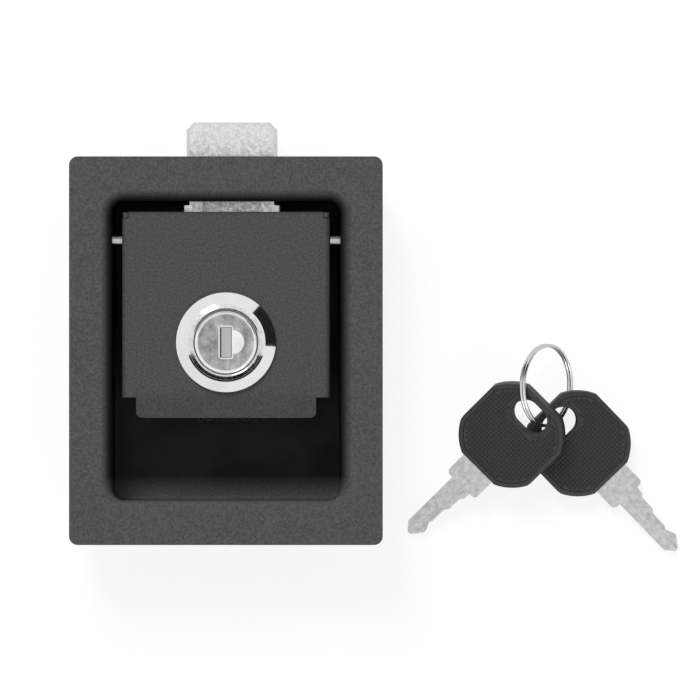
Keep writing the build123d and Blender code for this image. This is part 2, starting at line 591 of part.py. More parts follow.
def make_keeper():
    back = keeper_back_y()
    lip_z = CAM_TOP_Z + KEEPER_GAP + PLATED_SHEET
    strip = bent_strip([(back - KEEPER_FOOT, FLOOR_Z), (back + PLATED_SHEET, FLOOR_Z),
                        (back + PLATED_SHEET, lip_z), (back + KEEPER_LIP, lip_z)],
                       0.9 * PLATED_SHEET, PLATED_SHEET, Side.LEFT)
    body = side_profile(strip, KEEPER_W)
    for x, y in keeper_rivet_places():
        body -= Pos(x, y, FLOOR_Z) * Cylinder(RIVET_R + FIXED_FIT, 4 * PLATED_SHEET)
    return body


def make_keeper_rivets():
    return [rivet(x, y, PLATED_SHEET) for x, y in keeper_rivet_places()]


def make_bolt_spring(side):
    """Compression spring from the guide's end wall into its hole in the bolt."""
    start = SPRING_SEAT_Y + SEAT_GAP + SPRING_WIRE / 2
    end = BOLT_TAIL + SPRING_HOLE_DEPTH - SEAT_GAP - SPRING_WIRE / 2
    path = Helix((end - start) / SPRING_TURNS, end - start, SPRING_COIL_R)
    section = Plane(path @ 0, z_dir=path % 0) * RegularPolygon(SPRING_WIRE / 2, WIRE_SIDES)
    coil = sweep(section, path, is_frenet=True)
    return Pos(BOLT_X + side * SPRING_SPREAD, start, spring_axis_z()) * Rot(-90, 0, 0) * coil


def make_paddle_spring(side):
    """Torsion spring round the pin: a long leg to the floor, a short one under the paddle."""
    lean = radians(FLOOR_LEG_LEAN)
    rise = radians(TOP_LEG_RISE)
    rest_gap = COIL_WIRE / 2 + SEAT_GAP
    floor_leg = (PIVOT_Z - FLOOR_Z - rest_gap - COIL_R * sin(lean)) / cos(lean)
    top_leg = (FACE_Z - SHEET - PIVOT_Z - rest_gap - COIL_R * cos(rise)) / sin(rise)
    turns = COIL_TURNS + (90 + FLOOR_LEG_LEAN - TOP_LEG_RISE) / 360
    coil = Helix(COIL_PITCH, COIL_PITCH * turns, COIL_R, lefthand=True)
    path = Wire([Line(coil @ 0 - floor_leg * (coil % 0), coil @ 0), coil,
                 Line(coil @ 1, coil @ 1 + top_leg * (coil % 1))])
    section = Plane(path @ 0, z_dir=path % 0) * RegularPolygon(COIL_WIRE / 2, WIRE_SIDES)
    spring = Plane.YZ * Rot(0, 0, 180 + FLOOR_LEG_LEAN) * sweep(section, path)
    spring = Pos(COIL_INNER_X, PIVOT_Y, PIVOT_Z) * spring
    return spring if side > 0 else mirror(spring, Plane.YZ)


# ---- Keys and split ring -----------------------------------------------------------
def key_place(centre, heading, tilt):
    """Put a key, drawn level with its tip along +X, on the table with its head raised."""
    tip_x = HEAD_FLATS / 2 + BLADE_LENGTH
    lean = radians(tilt)
    rise = TABLE_Z + tip_x * sin(lean) + BLADE_T / 2 * cos(lean)
    return Pos(centre[0], centre[1], rise) * Rot(0, 0, heading) * Rot(0, tilt, 0)


def left_place():
    return key_place(LEFT_KEY_XY, LEFT_KEY_HEADING, LEFT_KEY_TILT)


def right_place():
    return key_place(RIGHT_KEY_XY, RIGHT_KEY_HEADING, RIGHT_KEY_TILT)


def make_key_head(place):
    """Moulded grip: a disc with four flats, a raised border and an oval ring hole."""
    outline = Circle(HEAD_R) & Rectangle(HEAD_FLATS, HEAD_FLATS)
    outline = fillet(outline.vertices(), HEAD_CORNER)
    head = Pos(0, 0, -HEAD_T / 2) * extrude(outline, HEAD_T)
    head = fillet(head.edges().filter_by(Plane.XY), HEAD_EDGE)
    grip = offset(outline, -HEAD_BORDER)
    for face_z in (HEAD_T / 2 - HEAD_SINK, -HEAD_T / 2 - HEAD_SINK):
        head -= Pos(0, 0, face_z) * extrude(grip, 2 * HEAD_SINK)
    hole = Rot(0, 0, 90) * SlotOverall(HOLE_L, HOLE_W)
    collar = Rot(0, 0, 90) * SlotOverall(HOLE_L + HEAD_BORDER, HOLE_W + HEAD_BORDER)
    head += Pos(-HOLE_FROM_CENTRE, 0, -HEAD_T / 2 + HEAD_SINK / 2) * extrude(
        collar, HEAD_T - HEAD_SINK)
    head -= Pos(-HOLE_FROM_CENTRE, 0, -HEAD_T) * extrude(hole, 2 * HEAD_T)
    root_x = HEAD_FLATS / 2 - BLADE_ROOT - FIXED_FIT
    head -= Pos(root_x, 0, 0) * Box(
        2 * BLADE_ROOT, SHOULDER_H + 2 * FIXED_FIT, BLADE_T + 2 * FIXED_FIT,
        align=(Align.MIN, Align.CENTER, Align.CENTER))
    return place * head


def make_key_blade(place):
    """Flat blade: wide shoulder, one straight edge, one stepped edge, grooved faces."""
    start = HEAD_FLATS / 2
    neck = start + SHOULDER_LENGTH
    tip = start + BLADE_LENGTH
    half = BLADE_H / 2
    wide = SHOULDER_H / 2
    cuts = [(neck + along, half - deep) for along, deep in BITTING]
    nose = [(tip - back, half - deep) for back, deep in NOSE]
    straight = [(tip - NOSE_BACK, -half), (neck, -half), (neck, -wide + SHOULDER_EDGE),
                (neck - SHOULDER_EDGE, -wide), (start - BLADE_ROOT, -wide)]
    outline = Polyline((start - BLADE_ROOT, wide), (neck - SHOULDER_EDGE, wide),
                       (neck, wide - SHOULDER_EDGE), *cuts, *nose, *straight, close=True)
    blade = Pos(0, 0, -BLADE_T / 2) * extrude(make_face(outline), BLADE_T)
    groove_start = start + SHOULDER_LENGTH / 2
    groove = Box(BLADE_LENGTH, GROOVE_W, 2 * GROOVE_DEPTH,
                 align=(Align.MIN, Align.CENTER, Align.CENTER))
    blade -= Pos(groove_start, 0.2, BLADE_T / 2) * groove
    blade -= Pos(groove_start, -half / 2, -BLADE_T / 2) * groove
    return place * blade


def make_ring():
    """Split ring of two turns, tilted so that it threads both keys."""
    left = (left_place() * Pos(-HOLE_FROM_CENTRE, 0, 0)).position
    right = (right_place() * Pos(-HOLE_FROM_CENTRE, 0, 0)).position
    tilt = radians(RING_TILT)
    heading = radians(RING_HEADING)
    out = Vector(-sin(heading), cos(heading), 0)
    down = Vector(cos(heading) * cos(tilt), sin(heading) * cos(tilt), -sin(tilt))
    pitch = 1.8 * RING_WIRE_R
    reach = RING_MEAN_R * sin(tilt) + pitch / 2 * cos(tilt) + RING_WIRE_R
    centre = (left + right) / 2 + out * (RING_MEAN_R - RING_SLACK)
    centre = Vector(centre.X, centre.Y, TABLE_Z + reach + 3 * SEAT_GAP)
    plane = Plane(origin=centre, x_dir=down, z_dir=down.cross(out))
    wire = Pos(RING_MEAN_R, -pitch / 2) * Circle(RING_WIRE_R)
    wire += Pos(RING_MEAN_R, pitch / 2) * Circle(RING_WIRE_R)
    return plane * revolve(Plane.XZ * wire, Axis.Z)


NODES = {
    "pan": make_pan,
    "mounting_studs": make_studs,
    "hinge_pin": make_pin,
    "pin_clip": make_clip,
    "bolt_guide": make_guide,
    "guide_rivets": make_guide_rivets,
    "cam_keeper": make_keeper,
    "keeper_rivets": make_keeper_rivets,
    "paddle": make_paddle,
    "lock_housing": make_housing,
    "lock_gasket": make_gasket,
    "lock_washer": make_washer,
    "lock_nut": make_nut,
    "plug": make_plug,
    "plug_cap": make_cap,
    "wafers": make_wafers,
    "lock_cam": make_cam,
    "cam_screw": make_cam_screw,
    "dust_shutter": make_shutter,
    "bolt": make_bolt,
    "bolt_spring_left": lambda: make_bolt_spring(-1),
    "bolt_spring_right": lambda: make_bolt_spring(1),
    "paddle_spring_left": lambda: make_paddle_spring(-1),
    "paddle_spring_right": lambda: make_paddle_spring(1),
    "key_ring": make_ring,
    "key_head_left": lambda: make_key_head(left_place()),
    "key_blade_left": lambda: make_key_blade(left_place()),
    "key_head_right": lambda: make_key_head(right_place()),
    "key_blade_right": lambda: make_key_blade(right_place()),
}

os.makedirs("parts", exist_ok=True)
for name, maker in NODES.items():
    made = maker()
    if isinstance(made, list):
        made = Compound(children=made)
    export_step(made, f"parts/{name}.step")
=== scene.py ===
# %% [markdown]
# # A flush paddle latch and its keys
# The latch is a pressed steel pan with a flange, a paddle that swings on a pin, a key lock
# in the paddle and a spring bolt that leaves through the top wall.  Its exact solids come
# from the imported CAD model.  This lesson gives them their finishes, adds or rebuilds the
# pieces that need more than a plain solid, and lights the whole as a small studio would.

# %% Load the frame
from math import cos, pi, radians, sin, sqrt

import bmesh
import bpy
from mathutils import Matrix, Vector


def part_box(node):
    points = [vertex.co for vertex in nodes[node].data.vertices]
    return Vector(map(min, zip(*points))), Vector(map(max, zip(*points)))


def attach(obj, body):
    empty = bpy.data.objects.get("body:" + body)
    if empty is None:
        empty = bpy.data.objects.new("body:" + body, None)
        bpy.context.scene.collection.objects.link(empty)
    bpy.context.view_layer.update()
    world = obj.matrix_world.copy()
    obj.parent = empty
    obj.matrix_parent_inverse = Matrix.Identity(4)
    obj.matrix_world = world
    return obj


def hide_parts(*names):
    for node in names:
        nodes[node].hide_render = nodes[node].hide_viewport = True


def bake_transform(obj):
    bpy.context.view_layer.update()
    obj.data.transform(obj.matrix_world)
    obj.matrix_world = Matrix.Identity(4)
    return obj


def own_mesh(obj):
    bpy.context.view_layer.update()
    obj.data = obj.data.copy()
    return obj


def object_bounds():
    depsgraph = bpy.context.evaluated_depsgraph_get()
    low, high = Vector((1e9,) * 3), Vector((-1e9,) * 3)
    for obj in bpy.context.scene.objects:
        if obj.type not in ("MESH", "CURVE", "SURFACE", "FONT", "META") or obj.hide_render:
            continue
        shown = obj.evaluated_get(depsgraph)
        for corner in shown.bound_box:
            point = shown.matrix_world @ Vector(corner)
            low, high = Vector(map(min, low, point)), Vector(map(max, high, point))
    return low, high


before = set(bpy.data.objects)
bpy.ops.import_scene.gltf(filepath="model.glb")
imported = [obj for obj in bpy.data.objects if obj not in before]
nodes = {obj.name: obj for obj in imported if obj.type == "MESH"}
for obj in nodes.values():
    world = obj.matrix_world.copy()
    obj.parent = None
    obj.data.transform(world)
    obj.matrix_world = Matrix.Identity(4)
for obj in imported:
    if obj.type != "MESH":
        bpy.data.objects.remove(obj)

MM = 0.001
lock_low, lock_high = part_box("lock_housing")
LOCK_AXIS = [(a + b) / 2 / MM for a, b in zip(lock_low[:2], lock_high[:2])]
CAP_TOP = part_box("plug_cap")[1].z / MM
SLOT_HALF = (1.7, 4.4)
WELL_HALF, WELL_CORNER = (32.8, 43.05), 3.5
cad_low, cad_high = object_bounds()
print("CAD box", [round(v, 4) for v in cad_low], [round(v, 4) for v in cad_high])

# %% [markdown]
# ## A few helpers for finishes
# Every finish here is a small tree of nodes that ends in one Principled shader.  They all
# read Object coordinates, which for these pieces are metres in the latch's own frame, so a
# noise with a scale of 2000 has grains of about half a millimetre on every piece alike.

# %% Finish helpers


class Finish:
    """One material: a Principled shader with a few procedural inputs."""

    def __init__(self, name, colour, roughness, metallic=0.0):
        self.material = bpy.data.materials.new(name)
        self.material.use_nodes = True
        self.tree = self.material.node_tree
        self.shader = self.tree.nodes["Principled BSDF"]
        self.colour = colour
        self.shader.inputs["Base Color"].default_value = (*colour, 1)
        self.shader.inputs["Roughness"].default_value = roughness
        self.shader.inputs["Metallic"].default_value = metallic
        self.place = self.tree.nodes.new("ShaderNodeTexCoord").outputs["Object"]
        self.normal = None

    def add(self, kind, **settings):
        made = self.tree.nodes.new(kind)
        for key, value in settings.items():
            setattr(made, key, value)
        return made

    def link(self, a, b):
        self.tree.links.new(a, b)

    def turned(self, degrees=(0, 0, 0), stretch=(1, 1, 1)):
        """Object coordinates, turned and stretched, for brushed or scratched grain."""
        mapping = self.add("ShaderNodeMapping")
        mapping.inputs["Rotation"].default_value = [radians(d) for d in degrees]
        mapping.inputs["Scale"].default_value = stretch
        self.link(self.place, mapping.inputs["Vector"])
        return mapping.outputs["Vector"]

    def noise(self, scale, detail=2.0, rough=0.5, place=None):
        grain = self.add("ShaderNodeTexNoise")
        grain.inputs["Scale"].default_value = scale
        grain.inputs["Detail"].default_value = detail
        grain.inputs["Roughness"].default_value = rough
        self.link(place or self.place, grain.inputs["Vector"])
        return grain.outputs["Fac"]

    def spread(self, value, low, high, start=0.35, end=0.65):
        """Map a noise's middle range onto low to high."""
        spread = self.add("ShaderNodeMapRange")
        for key, number in (("From Min", start), ("From Max", end),
                            ("To Min", low), ("To Max", high)):
            spread.inputs[key].default_value = number
        self.link(value, spread.inputs["Value"])
        return spread.outputs["Result"]

    def tint(self, value, low, high):
        """Vary the base colour between two shares of itself."""
        ramp = self.add("ShaderNodeMix", data_type="RGBA")
        ramp.inputs["A"].default_value = (*[c * low for c in self.colour], 1)
        ramp.inputs["B"].default_value = (*[min(1, c * high) for c in self.colour], 1)
        self.link(self.spread(value, 0, 1), ramp.inputs["Factor"])
        self.link(ramp.outputs["Result"], self.shader.inputs["Base Color"])
        return self

    def polish(self, value, low, high):
        """Vary the roughness."""
        self.link(self.spread(value, low, high), self.shader.inputs["Roughness"])
        return self

    def flat_mm(self, centre_mm):
        """Place in mm from a centre, seen from the front: its height is dropped."""
        flat = self.add("ShaderNodeMapping")
        flat.inputs["Location"].default_value = (-centre_mm[0], -centre_mm[1], 0)
        flat.inputs["Scale"].default_value = (1 / MM, 1 / MM, 0)
        self.link(self.place, flat.inputs["Vector"])
        return flat.outputs["Vector"]

    def length_of(self, vector):
        length = self.add("ShaderNodeVectorMath", operation="LENGTH")
        self.link(vector, length.inputs[0])
        return length.outputs["Value"]

    def from_axis(self, centre_mm):
        """Distance in mm from an upright axis, for rings turned on a lathe."""
        return self.length_of(self.flat_mm(centre_mm))

    def from_block(self, centre_mm, half_mm, corner_mm=0.0):
        """Distance in mm outside an upright block with rounded corners."""
        out = self.flat_mm(centre_mm)
        inner = [h - corner_mm for h in half_mm] + [0]
        for kind, other in (("ABSOLUTE", None), ("SUBTRACT", inner), ("MAXIMUM", (0, 0, 0))):
            step = self.add("ShaderNodeVectorMath", operation=kind)
            self.link(out, step.inputs[0])
            if other is not None:
                step.inputs[1].default_value = other
            out = step.outputs["Vector"]
        less = self.add("ShaderNodeMath", operation="SUBTRACT")
        less.inputs[1].default_value = corner_mm
        self.link(self.length_of(out), less.inputs[0])
        return less.outputs[0]

    def times(self, a, b):
        """The share where both masks hold."""
        both = self.add("ShaderNodeMath", operation="MULTIPLY")
        self.link(a, both.inputs[0])
        self.link(b, both.inputs[1])
        return both.outputs[0]

    def toward(self, where, level):
        """Mix the colour already made towards one grey, where the mask is 1."""
        mix = self.add("ShaderNodeMix", data_type="RGBA")
        mix.inputs["B"].default_value = (*grey(level), 1)
        made = self.shader.inputs["Base Color"]
        self.link(where, mix.inputs["Factor"])
        self.link(made.links[0].from_socket, mix.inputs["A"])
        self.link(mix.outputs["Result"], made)
        return self

    def darker(self, where, share):
        """Multiply the colour already made by a share, where the mask is 1."""
        dark = self.add("ShaderNodeMix", data_type="RGBA", blend_type="MULTIPLY")
        dark.inputs["B"].default_value = (share, share, share, 1)
        made = self.shader.inputs["Base Color"]
        self.link(where, dark.inputs["Factor"])
        self.link(made.links[0].from_socket, dark.inputs["A"])
        self.link(dark.outputs["Result"], made)
        return self

    def bump(self, value, strength, depth_mm):
        """Raise the surface by a noise; bumps stack on one another."""
        bump = self.add("ShaderNodeBump")
        bump.inputs["Strength"].default_value = strength
        bump.inputs["Distance"].default_value = depth_mm * MM
        self.link(value, bump.inputs["Height"])
        if self.normal:
            self.link(self.normal, bump.inputs["Normal"])
        self.normal = bump.outputs["Normal"]
        self.link(self.normal, self.shader.inputs["Normal"])
        return self


def grey(level):
    """A neutral colour from a display level of 0 to 255."""
    share = level / 255
    linear = ((share + 0.055) / 1.055) ** 2.4
    return (linear, linear, linear)


# %% [markdown]
# ## Powder coat
# The pan and the paddle wear a black powder coat, which is really a dark grey with a fine
# sandy skin.  Two noises make it: a fine one for the grains, in colour and in height, and a
# slow one for the slightly uneven sheen of a baked coat.  Painted shade darkens the pan's coat
# inside the well and where the flange rolls into it, but not along the well's lower end.

# %% Powder coat


def powder_coat(name, level):
    coat = Finish(name, grey(level), 0.5)
    coat.shader.inputs["Specular IOR Level"].default_value = 0.22
    grains = coat.noise(1700, 3, 0.6)
    coat.tint(grains, 0.72, 1.3)
    coat.polish(coat.noise(60, 3), 0.42, 0.6)
    coat.bump(grains, 0.5, 0.12)
    coat.bump(coat.noise(420, 2), 0.2, 0.15)
    return coat


pan_finish = powder_coat("pan powder coat", 79)
# Painted shade: the coat drops to 5 % inside the well and on the roll round its mouth, fading out
# 0.9 to 3.2 mm from the mouth and towards the lower end.
mouth_distance = pan_finish.from_block((0, 0), WELL_HALF, WELL_CORNER)
roll_painted_shade = pan_finish.spread(mouth_distance, 1, 0, 0.9, 3.2)
above = pan_finish.spread(pan_finish.from_block((0, 40), (100, 76)), 1, 0, 0, 6)
pan_finish.darker(pan_finish.times(roll_painted_shade, above), 0.05)
pan_coat = pan_finish.material
paddle_coat = powder_coat("paddle powder coat", 75).material
# Painted shade: the cam keeper and its rivets get a coat much darker than the pan's, so they stay
# as dark as the shade under the lip.
keeper_shade_coat = powder_coat("keeper painted shade coat", 40).material
print("powder coats made")

# %% [markdown]
# ## Metals
# Each metal piece left its own machine.  Zinc-plated sheet has a faint mottled bloom, a drawn
# pin has grain along its length, cast metal is a little rough, and chrome is smooth but never
# perfect.  So each gets its own grain, with its own direction, and not one shared grey.

# %% Metals


def zinc_sheet(name, level=178):
    zinc = Finish(name, grey(level), 0.36, 1.0)
    zinc.tint(zinc.noise(140, 4, 0.6), 0.8, 1.08)
    zinc.polish(zinc.noise(500, 3), 0.2, 0.36)
    zinc.bump(zinc.noise(900, 3), 0.12, 0.05)
    return zinc.material


def drawn_steel(name, level, along):
    """Steel with fine grain along one axis: the stretch is small along the grain."""
    steel = Finish(name, grey(level), 0.25, 1.0)
    stretch = [0.03 if axis == along else 1 for axis in "XYZ"]
    grain = steel.noise(2600, 2, place=steel.turned(stretch=stretch))
    steel.tint(grain, 0.86, 1.06)
    steel.polish(grain, 0.18, 0.34)
    steel.bump(grain, 0.15, 0.02)
    return steel.material


def polished_chrome(name):
    """Chrome, with painted shade darkening the narrow gap beside the plug's cap."""
    chrome = Finish(name, grey(238), 0.07, 1.0)
    chrome.tint(chrome.noise(90, 2), 0.93, 1.02)
    gap_painted_shade = chrome.spread(chrome.from_axis(LOCK_AXIS), 1, 0, 9.3, 9.38)
    # Painted shade: the colour drops to 12 % in a ring 9.3 to 9.38 mm from the lock's axis.
    chrome.darker(gap_painted_shade, 0.12)
    chrome.bump(chrome.noise(300, 2), 0.03, 0.03)
    return chrome.material


def turned_chrome(name):
    """Chrome over coarse tool marks: the dished floor of the moat round the plug."""
    chrome = Finish(name, grey(240), 0.12, 1.0)
    marks = chrome.noise(800, 4, 0.7)
    chrome.tint(marks, 0.7, 1.05)
    chrome.polish(marks, 0.08, 0.2)
    chrome.bump(marks, 0.25, 0.08)
    return chrome.material


def polished_wire(name, level):
    wire = Finish(name, grey(level), 0.12, 1.0)
    wire.tint(wire.noise(250, 2), 0.9, 1.04)
    wire.polish(wire.noise(400, 2), 0.1, 0.2)
    return wire.material


def cast_zinc(name, level):
    """Plated casting: rough field, a little darker in its pores."""
    cast = Finish(name, grey(level), 0.42, 1.0)
    pores = cast.noise(1500, 4, 0.65)
    cast.tint(pores, 0.8, 1.06)
    cast.polish(cast.noise(700, 3), 0.22, 0.38)
    cast.bump(pores, 0.3, 0.06)
    return cast.material


def scratched_cap(name):
    """Satin stainless with a mottled bloom and fine scratches, and painted highlights on its
    rounded rim and round the key slot.
    """
    cap = Finish(name, grey(206), 0.3, 1.0)
    lean = cap.turned((0, 0, -50), (1, 0.05, 1))
    bloom = cap.noise(260, 5, 0.65)
    scratches = cap.noise(3000, 2, place=lean)
    cap.tint(bloom, 0.42, 0.98)
    cap.darker(cap.spread(scratches, 0, 1, 0.5, 0.7), 0.8)
    radius = cap.from_axis(LOCK_AXIS)
    # Painted highlight: a bright ring on the cap's rounded rim, from 7.9 to 8.35 mm out.
    cap.toward(cap.spread(radius, 0, 1, 7.9, 8.35), 248)
    slot_rim = cap.from_block(LOCK_AXIS, SLOT_HALF, 0.3)
    # Painted highlight: a bright outline just round the key slot.
    cap.toward(cap.spread(slot_rim, 1, 0, 0.3, 0.5), 240)
    cap.link(cap.spread(radius, 0.3, 0.1, 8.0, 8.4), cap.shader.inputs["Roughness"])
    cap.bump(scratches, 0.2, 0.02)
    return cap.material


def key_nickel(name):
    nickel = Finish(name, grey(214), 0.34, 1.0)
    nickel.tint(nickel.noise(700, 4, 0.6), 0.74, 1.05)
    nickel.polish(nickel.noise(1600, 3), 0.28, 0.44)
    nickel.bump(nickel.noise(2200, 3), 0.15, 0.03)
    return nickel.material


def stamped_brass(name):
    brass = Finish(name, (0.62, 0.43, 0.19), 0.34, 1.0)
    brass.tint(brass.noise(700, 3), 0.8, 1.08)
    brass.polish(brass.noise(1400, 2), 0.26, 0.44)
    brass.bump(brass.noise(2000, 2), 0.1, 0.02)
    return brass.material


guide_zinc = zinc_sheet("guide zinc", 246)
rivet_zinc = zinc_sheet("rivet zinc", 200)
stud_zinc = zinc_sheet("stud zinc", 205)
pin_steel = drawn_steel("pin steel", 205, "X")
clip_steel = drawn_steel("clip steel", 95, "Z")
wire_steel = drawn_steel("spring wire", 150, "Y")
ring_steel = polished_wire("ring wire", 225)
lock_chrome = polished_chrome("lock chrome")
moat_chrome = turned_chrome("moat chrome")
moon_chrome = polished_wire("half moon chrome", 250)
bolt_zinc = cast_zinc("bolt zinc", 246)
plug_nickel = cast_zinc("plug nickel", 190)
cap_steel = scratched_cap("cap satin steel")
shutter_steel = drawn_steel("shutter steel", 196, "Y")
blade_nickel = key_nickel("key nickel")
wafer_brass = stamped_brass("wafer brass")
print("metals made")

# %% [markdown]
# ## Rubber and moulded plastic
# The gasket is a thin black washer and the key heads are black moulded plastic.  Plastic has
# a soft sheen and a very fine erosion texture from its mould, far smaller than the grip dots,
# which are real shapes further down.

# %% Rubber and plastic


def soft_black(name, level, low, high, grain_scale):
    soft = Finish(name, grey(level), 0.5)
    soft.tint(soft.noise(grain_scale, 3), 0.8, 1.25)
    soft.polish(soft.noise(300, 2), low, high)
    soft.bump(soft.noise(grain_scale, 3), 0.3, 0.05)
    return soft.material


gasket_rubber = soft_black("gasket rubber", 26, 0.6, 0.8, 1200)
key_plastic = soft_black("key plastic", 46, 0.38, 0.5, 2400)
print("rubber and plastic made")

# %% [markdown]
# ## Give the CAD solids their finishes
# The solids keep their shape; only the material in their slot changes.

# %% Dress the solids
FINISHES = {
    "pan": pan_coat, "paddle": paddle_coat,
    "mounting_studs": stud_zinc, "hinge_pin": pin_steel, "pin_clip": clip_steel,
    "bolt_guide": guide_zinc, "guide_rivets": rivet_zinc, "cam_keeper": keeper_shade_coat,
    "keeper_rivets": keeper_shade_coat, "lock_housing": lock_chrome,
    "lock_gasket": gasket_rubber, "lock_washer": guide_zinc, "lock_nut": guide_zinc,
    "plug": plug_nickel, "plug_cap": cap_steel, "wafers": wafer_brass,
    "lock_cam": guide_zinc, "cam_screw": rivet_zinc, "dust_shutter": shutter_steel,
    "bolt": bolt_zinc, "bolt_spring_left": wire_steel, "bolt_spring_right": wire_steel,
    "paddle_spring_left": wire_steel, "paddle_spring_right": wire_steel,
    "key_ring": ring_steel, "key_head_left": key_plastic, "key_head_right": key_plastic,
    "key_blade_left": blade_nickel, "key_blade_right": blade_nickel,
}
for name, node in nodes.items():
    node.data.materials.clear()
    node.data.materials.append(FINISHES[name])
print("dressed", len(nodes), "solids")

# %% [markdown]
# ## Helpers for new pieces
# A new piece is a bmesh that ends as an object at the origin, with its place in its mesh, and
# rides on one of the latch's bodies.  Edges sharper than a set angle stay crisp, the rest are
# shaded smooth.

# %% Piece helpers


def finish_piece(name, bm, material, body, stands_for=(), crisp=35.0):
    bmesh.ops.remove_doubles(bm, verts=bm.verts, dist=1e-6)
    bmesh.ops.recalc_face_normals(bm, faces=bm.faces)
    for face in bm.faces:
        face.smooth = True
    for edge in bm.edges:
        edge.smooth = len(edge.link_faces) == 2 and edge.calc_face_angle(pi) < radians(crisp)
    mesh = bpy.data.meshes.new(name)
    bm.to_mesh(mesh)
    bm.free()
    mesh.materials.append(material)
    piece = bpy.data.objects.new(name, mesh)
    bpy.context.scene.collection.objects.link(piece)
    if body:
        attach(piece, body)
    if stands_for:
        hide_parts(*stands_for)
    print(name, len(mesh.polygons), "faces")
    return piece


def loop_of(bm, count, point):
    """A ring of points from a circle, each moved to where point(angle) says, in mm."""
    made = bmesh.ops.create_circle(bm, segments=count, radius=1.0)["verts"]
    for i, vert in enumerate(made):
        vert.co = Vector(point(2 * pi * i / count)) * MM
    return made


def bridge(bm, loops, closed=False):
    """Join rings of points one after another, point to point."""
    pairs = list(zip(loops, loops[1:])) + ([(loops[-1], loops[0])] if closed else [])
    for a, b in pairs:
        for i in range(len(a)):
            j = (i + 1) % len(a)
            bmesh.ops.contextual_create(bm, geom=[a[i], a[j], b[j], b[i]])


def chain(bm, points_mm):
    """An open or closed line of edges through points in mm, as the start of a spin."""
    made = [bmesh.ops.create_vert(bm, co=Vector(p) * MM)["vert"][0] for p in points_mm]
    edges = []
    for a, b in zip(made, made[1:]):
        edges += bmesh.ops.contextual_create(bm, geom=[a, b])["edges"]
    return made + edges


def spun(bm, geometry, centre_mm, degrees, steps):
    """Sweep a line round an upright axis."""
    bmesh.ops.spin(bm, geom=geometry, cent=Vector(centre_mm) * MM, axis=(0, 0, 1),
                   angle=radians(degrees), steps=steps, use_merge=degrees == 360)


# %% [markdown]
# ## The paddle's lower sides
# The paddle's face keeps its full width down to the shoulders beside the lip, and so do its
# folded sides, which grow shallower on the way.  The solid's sides stop short of that, so
# these two pieces carry the fold on to the shoulders.  Small rounded corners close the gaps
# between the top fold and the side folds.

# %% Paddle sides and corners
paddle_low, paddle_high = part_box("paddle")
HALF_W, FACE = paddle_high.x / MM, paddle_high.z / MM
BODY_LENGTH, STRIP_END = 53.3, 10.0
TOP, SHOULDER = paddle_high.y / MM, paddle_high.y / MM - BODY_LENGTH
SHEET, FOLD, LIP_STEP = 1.5, 1.9, 4.0
DEPTH_AT_SOLID, DEPTH_AT_STRIP, DEPTH_AT_SHOULDER = 8.17, 7.62, 6.0
CORNER_W, CORNER_T, CORNER_INSET, CORNER_ROUND = 1.75, 4.0, 1.1, 0.8


def fold_section(depth, strip, sign, y):
    """The folded edge in section: flat strip, rounded fold, side down to its depth."""
    arc = [(cos(radians(a)), sin(radians(a))) for a in range(90, -1, -15)]
    outer = [(HALF_W - FOLD + FOLD * c, FACE - FOLD + FOLD * d) for c, d in arc]
    small = FOLD - SHEET
    inner = [(HALF_W - FOLD + small * c, FACE - FOLD + small * d) for c, d in arc]
    points = ([(HALF_W - strip, FACE)] + outer + [(HALF_W, FACE - depth),
              (HALF_W - SHEET, FACE - depth)] + inner[::-1] + [(HALF_W - strip, FACE - SHEET)])
    return [(sign * x, y, z) for x, z in points]


for side, sign in (("left", -1), ("right", 1)):
    bm = bmesh.new()
    sections = [fold_section(DEPTH_AT_SOLID, FOLD + 0.01, sign, 0.0),
                fold_section(DEPTH_AT_STRIP, FOLD + 0.01, sign, SHOULDER + STRIP_END),
                fold_section(DEPTH_AT_STRIP, LIP_STEP, sign, SHOULDER + STRIP_END),
                fold_section(DEPTH_AT_SHOULDER, LIP_STEP, sign, SHOULDER)]
    loops = [loop_of(bm, len(points), lambda a, p=points: p[round(a * len(p) / (2 * pi))])
             for points in sections]
    bridge(bm, loops)
    for loop in (loops[0], loops[-1]):
        bmesh.ops.contextual_create(bm, geom=loop)
    finish_piece("paddle_side_" + side, bm, paddle_coat, "paddle")
    bm = bmesh.new()
    bmesh.ops.create_cube(bm, size=MM)
    bmesh.ops.scale(bm, verts=bm.verts, vec=(CORNER_W, CORNER_W, CORNER_T))
    place = Vector((sign * (HALF_W - CORNER_INSET), TOP - CORNER_INSET, FACE - CORNER_T / 2))
    bmesh.ops.translate(bm, verts=bm.verts, vec=place * MM)
    upper = [e for e in bm.edges if min(v.co.z for v in e.verts) > (FACE - 0.1) * MM]
    bmesh.ops.bevel(bm, geom=upper, offset=CORNER_ROUND * MM, offset_type="OFFSET",
                    segments=5, profile=0.5, affect="EDGES", material=-1)
    finish_piece("paddle_corner_" + side, bm, paddle_coat, "paddle")

# %% [markdown]
# ## The lock's moat and half-moon
# Between the bevelled ring and the plug's cap lies a dished moat, and beside the key slot a
# polished half-moon is pressed into the cap.  Both are thin spun pieces laid into the solids'
# recesses, and both take their light from the side, which a flat floor wouldn't.

# %% Moat and half-moon
MOAT_DEPTH, MOAT_FROM, MOAT_TO = 1.4, 9.4, 10.82
MOON_DISH = [(0.05, 0.33), (1.2, 0.31), (2.4, 0.22), (3.1, 0.12), (3.55, 0.02), (3.55, 0.34)]
moat_z = lock_high.z / MM - MOAT_DEPTH
bm = bmesh.new()
section = [(MOAT_FROM, moat_z + 0.02), (MOAT_TO, moat_z + 0.56), (MOAT_TO, moat_z + 0.02),
           (MOAT_FROM, moat_z + 0.02)]
start = chain(bm, [(LOCK_AXIS[0] + r, LOCK_AXIS[1], z) for r, z in section])
spun(bm, start, (*LOCK_AXIS, 0), 360, 96)
finish_piece("lock_moat", bm, moat_chrome, "paddle")

